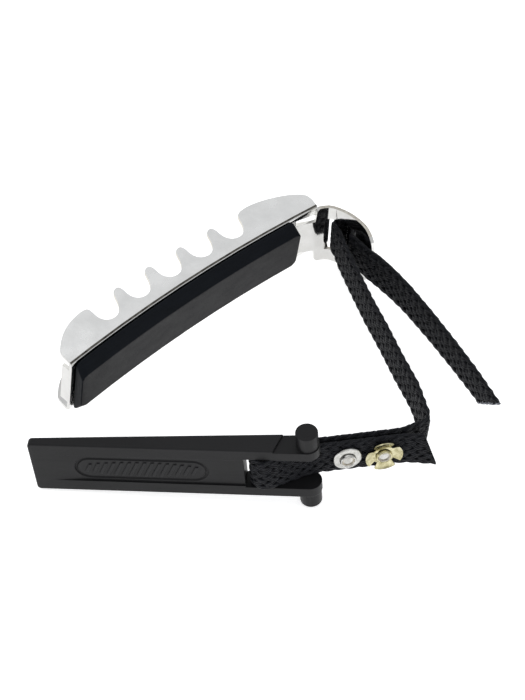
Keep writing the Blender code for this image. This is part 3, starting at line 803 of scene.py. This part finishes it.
def solid(name, made, frame):
    """An object from a bmesh in millimetres, placed by a frame in millimetres."""
    bmesh.ops.transform(made, matrix=Matrix.Scale(MM, 4) @ frame, verts=made.verts)
    bmesh.ops.recalc_face_normals(made, faces=made.faces)
    mesh = bpy.data.meshes.new(name)
    made.to_mesh(mesh)
    made.free()
    return new_object(name, mesh, ())


def combine(target, helper, operation):
    """Join or cut the target with a helper, which is then removed."""
    modifier = target.modifiers.new(helper.name, "BOOLEAN")
    modifier.operation = operation
    modifier.object = helper
    modifier.solver = "EXACT"
    applied(target)
    bpy.data.objects.remove(helper, do_unlink=True)


def oval_path(half_length, half_height, steps=14):
    straight = half_length - half_height
    right = arc((BADGE_CENTRE + straight, 0.0), half_height, -90.0, 90.0, steps)
    return right + arc((BADGE_CENTRE - straight, 0.0), half_height, 90.0, 270.0, steps)


def oval_groove():
    """Closed round cord along the oval, which cuts the groove in the panel."""
    made = bmesh.new()
    path = oval_path(BADGE_HALF_LENGTH - GROOVE_RADIUS, BADGE_HALF_HEIGHT - GROOVE_RADIUS)
    middle = LEVER_WIDTH / 2
    rings = []
    for index, (x, z) in enumerate(path):
        before, after = path[index - 1], path[(index + 1) % len(path)]
        heading = Vector((after[0] - before[0], 0.0, after[1] - before[1])).normalized()
        side = heading.cross(Vector((0.0, 1.0, 0.0)))
        ring = []
        for step in range(GROOVE_SIDES):
            angle = 2 * math.pi * step / GROOVE_SIDES
            out = side * math.cos(angle) + Vector((0.0, 1.0, 0.0)) * math.sin(angle)
            centre = Vector((x, PANEL_DEPTH - 0.04, middle + z))
            ring.append(made.verts.new(centre + out * GROOVE_RADIUS))
        rings.append(ring)
    for index, one in enumerate(rings):
        two = rings[(index + 1) % len(rings)]
        for step in range(GROOVE_SIDES):
            nxt = (step + 1) % GROOVE_SIDES
            made.faces.new((one[step], one[nxt], two[nxt], two[step]))
    return made


def lever_body():
    """The lever with its moulded roundings: wedge body, pegs, fork, panel and oval groove."""
    frame = lever_frame()
    middle = LEVER_WIDTH / 2
    depth = LEVER_FORK_THICKNESS / 2
    side = [(0.0, 0.0)] + arc((PEG_X, depth), depth, -90.0, 90.0, 20) + [(0.0, LEVER_TIP_THICKNESS)]
    body = prism(side, 0.0, LEVER_WIDTH)

    def is_tip_corner(edge):
        one, two = edge.verts
        return one.co.x < 0.01 and two.co.x < 0.01 and abs(one.co.y - two.co.y) > 1.0

    round_edges(body, is_tip_corner, 0.95, 6)
    round_edges(body, is_sharp, 0.38, 4)
    lever = solid("toggle_lever_finish", body, frame)
    recess_outline = (
        (ARM_RECESS_FRONT, -1.0),
        (LEVER_BEYOND, -1.0),
        (LEVER_BEYOND, 8.0),
        (ARM_RECESS_BACK, 8.0),
    )
    recess = prism(recess_outline, LEVER_WIDTH - ARM_RECESS, LEVER_WIDTH + 1.0)
    combine(lever, solid("recess_cutter", recess, frame), "DIFFERENCE")
    circle = arc((PEG_X, depth), PEG_RADIUS, 0.0, 352.5, 47)
    for low, high, end in (
        (-PEG_LENGTH, 1.0, -PEG_LENGTH),
        (LEVER_WIDTH - ARM_RECESS - 1.0, LEVER_WIDTH + PEG_LENGTH, LEVER_WIDTH + PEG_LENGTH),
    ):
        peg = prism(circle, low, high)
        round_edges(peg, lambda edge: all(abs(vert.co.z - end) < 0.01 for vert in edge.verts), 0.28, 3)
        combine(lever, solid("peg", peg, frame), "UNION")
    slot_outline = ((SLOT_ROOT, -2.0), (LEVER_BEYOND, -2.0), (LEVER_BEYOND, 8.0), (SLOT_ROOT, 8.0))
    slot = prism(slot_outline, middle - FORK_GAP / 2, middle + FORK_GAP / 2)
    combine(lever, solid("slot_cutter", slot, frame), "DIFFERENCE")
    panel_outline = (
        (PANEL_START, -1.0),
        (SLOT_ROOT + 1.0, -1.0),
        (SLOT_ROOT + 1.0, PANEL_DEPTH),
        (PANEL_RAMP_END, PANEL_DEPTH),
        (PANEL_START, 0.0),
    )
    panel = prism(panel_outline, middle - PANEL_HALF_HEIGHT, middle + PANEL_HALF_HEIGHT)
    combine(lever, solid("panel_cutter", panel, frame), "DIFFERENCE")
    combine(lever, solid("groove_cutter", oval_groove(), frame), "DIFFERENCE")
    seat_outline = arc((PIN_PLACE[0], PIN_PLACE[1]), PIN_SEAT_RADIUS, 0.0, 350.0, 35)
    seat = prism(seat_outline, middle - PIN_SEAT_REACH, middle + PIN_SEAT_REACH)
    combine(lever, solid("seat_cutter", seat, frame), "DIFFERENCE")
    rounding = lever.modifiers.new("rounding", "BEVEL")
    rounding.width = 0.07 * MM
    rounding.segments = 2
    rounding.limit_method = "ANGLE"
    rounding.angle_limit = math.radians(40.0)
    rounding.use_clamp_overlap = False
    return finished(lever)


def slanted_ribs(frame, nylon):
    """Plain ribs that fill the lever's oval in place of any mark."""
    made = bmesh.new()
    for index in range(RIB_COUNT):
        away = (index - RIB_COUNT // 2) * RIB_PITCH
        x = BADGE_CENTRE + away
        half = 2.25 * math.sqrt(max(0.0, 1.0 - (away / RIB_REACH) ** 2)) + 0.1
        lean, wide = 0.42 * half, RIB_HALF_WIDTH
        outline = (
            (x - lean - wide, -half),
            (x - lean + wide, -half),
            (x + lean + wide, half),
            (x + lean - wide, half),
        )
        low, high = 0.42, 0.12
        lower = [Vector((a, low, LEVER_WIDTH / 2 + b)) for a, b in outline]
        upper = [Vector((a, high, LEVER_WIDTH / 2 + b * 0.94)) for a, b in outline]
        base = [made.verts.new(frame @ point * MM) for point in lower]
        top = [made.verts.new(frame @ point * MM) for point in upper]
        made.faces.new(base)
        made.faces.new(top[::-1])
        for one in range(4):
            two = (one + 1) % 4
            made.faces.new((base[two], base[one], top[one], top[two]))
    bmesh.ops.recalc_face_normals(made, faces=made.faces)
    mesh = bpy.data.meshes.new("badge_ribs")
    made.to_mesh(mesh)
    made.free()
    ribs = new_object("badge_ribs", mesh, (nylon,))
    rounding = ribs.modifiers.new("rounding", "BEVEL")
    rounding.width = 0.1 * MM
    rounding.segments = 2
    return finished(ribs)


def build_lever(nodes, nylon, steel):
    lever = lever_body()
    paint(lever, lambda face: 0, (nylon,))
    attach(lever, "lever")
    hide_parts("toggle_lever")
    ribs = slanted_ribs(lever_frame(), nylon)
    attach(ribs, "lever")
    nodes["strap_pin"].data.materials.clear()
    nodes["strap_pin"].data.materials.append(steel)


def petal_washer(name, frame, material):
    """Washer with four broad petals that curl up, and round gaps between them."""
    made = bmesh.new()
    steps, spans = 240, 9
    inner, outer, root = 1.35, 4.05, 2.55
    low, thick = 1.7, 0.34

    def edge_at(angle_deg):
        away = abs((angle_deg - 8.0 + 45.0) % 90.0 - 45.0)
        share = min(max((away - 34.0) / 2.5, 0.0), 1.0)
        return outer + (root - outer) * share * share * (3 - 2 * share)

    sheets = []
    for level in (0.0, thick):
        grid = []
        for step in range(steps):
            angle_deg = 360.0 * step / steps
            angle = math.radians(angle_deg)
            edge = edge_at(angle_deg)
            column = []
            for span in range(spans + 1):
                radius = inner + (edge - inner) * span / spans
                curl = 0.62 * max(0.0, (radius - 2.3) / (outer - 2.3)) ** 1.6
                lip = 0.14 * math.exp(-(((radius - 1.75) / 0.28) ** 2))
                height = low + level + curl + lip
                point = Vector((radius * math.cos(angle), radius * math.sin(angle), height))
                column.append(made.verts.new(frame @ point * MM))
            grid.append(column)
        sheets.append(grid)
    bottom, top = sheets
    for step in range(steps):
        nxt = (step + 1) % steps
        for span in range(spans):
            beyond = span + 1
            above = (top[step][span], top[step][beyond], top[nxt][beyond], top[nxt][span])
            below = (bottom[step][span], bottom[nxt][span], bottom[nxt][beyond], bottom[step][beyond])
            made.faces.new(above)
            made.faces.new(below)
        made.faces.new((top[step][-1], bottom[step][-1], bottom[nxt][-1], top[nxt][-1]))
        made.faces.new((top[step][0], top[nxt][0], bottom[nxt][0], bottom[step][0]))
    bmesh.ops.recalc_face_normals(made, faces=made.faces)
    mesh = bpy.data.meshes.new(name)
    made.to_mesh(mesh)
    made.free()
    return finished(new_object(name, mesh, (material,)), 45.0)


def build_rivets(silver, brass, groove):
    """Two rivets through the lap: a dished head in front, a plain one behind, and their washers."""
    lap = lap_frame()
    face = RIVET_FACE
    head = (
        (0.0, face + 0.42),
        (0.55, face + 0.40),
        (0.98, face + 0.30),
        (1.16, face + 0.12),
        (1.24, face + 0.12),
        (1.34, face + 0.48),
        (1.50, face + 0.58),
        (1.66, face + 0.50),
        (1.78, face + 0.22),
        (1.80, face),
        (1.1, face),
        (1.1, -face),
        (1.8, -face),
        (1.72, -face - 0.28),
        (1.3, -face - 0.42),
        (0.0, -face - 0.45),
    )
    disc = (
        (1.35, 1.72),
        (1.35, 2.2),
        (1.7, 2.24),
        (2.3, 2.2),
        (2.85, 2.1),
        (3.04, 2.0),
        (3.1, 1.86),
        (3.02, 1.72),
        (1.35, 1.72),
    )

    def ring_of(face, place, kind):
        """Silver centre, a brown groove round it, and a brass lip on the lobed rivet."""
        away = place.inverted() @ (face.center / MM)
        reach = math.hypot(away.x, away.y)
        if away.z < 0.0 or reach < 1.05:
            return 0
        if reach < 1.3:
            return 2
        return 1 if kind == "lobed" else 0

    for label, x in RIVET_PLACES:
        front = lap @ Matrix.Translation((x, 0.0, 0.0)) @ Matrix.Rotation(math.radians(90.0), 4, "X")
        back = front @ Matrix.Rotation(math.radians(180.0), 4, "X")
        rivet = turned(f"{label}_rivet_finish", head, front, (silver,))
        paint(rivet, lambda face: ring_of(face, front, label), (silver, brass, groove))
        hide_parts(f"{label}_rivet")
        if label == "round":
            washer = turned("round_washer_front_finish", disc, front, (silver,))
        else:
            washer = petal_washer("lobed_washer_front_finish", front, brass)
        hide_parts(f"{label}_washer_front")
        behind = turned(f"{label}_washer_back_finish", disc, back, (silver,))
        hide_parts(f"{label}_washer_back")
        for piece in (rivet, washer, behind):
            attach(piece, "lap")


# Stage ---------------------------------------------------------------------------------------


def build_camera():
    lens = bpy.data.cameras.new("camera")
    lens.lens = CAMERA_LENS
    lens.sensor_fit = "VERTICAL"
    lens.sensor_height = 36.0
    lens.clip_start = 0.01
    camera = bpy.data.objects.new("camera", lens)
    camera.location = CAMERA_PLACE
    look = Vector(CAMERA_TARGET) - Vector(CAMERA_PLACE)
    camera.rotation_euler = look.to_track_quat("-Z", "Y").to_euler()
    bpy.context.scene.collection.objects.link(camera)
    bpy.context.scene.camera = camera


def area_light(name, place, target, size, watts):
    data = bpy.data.lights.new(name, "AREA")
    data.shape = "RECTANGLE"
    data.size, data.size_y = size
    data.energy = watts
    light = bpy.data.objects.new(name, data)
    light.location = place
    light.rotation_euler = (Vector(target) - Vector(place)).to_track_quat("-Z", "Y").to_euler()
    bpy.context.scene.collection.objects.link(light)


def build_stage():
    scene = bpy.context.scene
    scene.view_settings.view_transform = "Standard"
    world = bpy.data.worlds.new("studio")
    world.use_nodes = True
    world.node_tree.nodes["Background"].inputs["Color"].default_value = (0.93, 0.94, 0.96, 1.0)
    world.node_tree.nodes["Background"].inputs["Strength"].default_value = 0.78
    scene.world = world
    floor = bmesh.new()
    bmesh.ops.create_grid(floor, x_segments=8, y_segments=8, size=3.0)
    mesh = bpy.data.meshes.new("floor")
    floor.to_mesh(mesh)
    floor.free()
    paper = Shader("paper", Roughness=0.9, Emission_Strength=0.64)
    paper.surface.inputs["Base Color"].default_value = (0.93, 0.93, 0.93, 1.0)
    paper.surface.inputs["Emission Color"].default_value = (1.0, 1.0, 1.0, 1.0)
    stage = new_object("floor", mesh, (paper.material,))
    stage.location.z = -0.0004
    area_light("top_box", (-0.15, 0.10, 0.70), (0.0, 0.0, 0.0), (0.7, 0.5), 0.7)
    area_light("front_box", (0.25, -0.60, 0.45), (0.0, 0.0, 0.0), (0.5, 0.4), 0.35)


def main():
    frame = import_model()
    build_camera()
    build_stage()
    nodes = frame["nodes"]
    bar_turn = bar_frame().to_3x3()
    lever_turn = lever_frame().to_3x3()
    satin, sheared = satin_nickel(bar_turn), sheared_steel()
    bright = bright_nickel("bright_nickel", (0.64, 0.635, 0.615), (0.71, 0.705, 0.69))
    # Darker copy of the glossy plating for the end wall's outer face: painted shade.
    shaded_end_nickel = bright_nickel("shaded_end_nickel", (0.52, 0.515, 0.50), (0.60, 0.595, 0.58))
    nylon = moulded_nylon(lever_turn)
    silver = small_metal("plated_silver", (0.40, 0.395, 0.37), (0.60, 0.595, 0.57), 0.14)
    brass = small_metal("pale_brass", (0.33, 0.30, 0.16), (0.62, 0.58, 0.38), 0.10)
    build_bar(nodes, satin, bright, sheared, dark_fold_reflection_and_edge(), shaded_end_nickel)
    side_low, side_high = (0.0012, 0.0024, 0.0042), (0.003, 0.0046, 0.0075)
    build_pad(
        nodes,
        rubber("pad_side", side_low, side_high, 0.48, 0.006, 0.10, bar_turn),
        rubber("pad_face", (0.018, 0.018, 0.019), (0.034, 0.034, 0.035), 0.75, 0.03, 0.3, bar_turn),
    )
    build_lever(nodes, nylon, small_metal("pin_steel", (0.42, 0.42, 0.42), (0.62, 0.62, 0.61), 0.25))
    build_strap(braid_yarn(), melted_ends())
    build_rivets(silver, brass, sheared)


main()
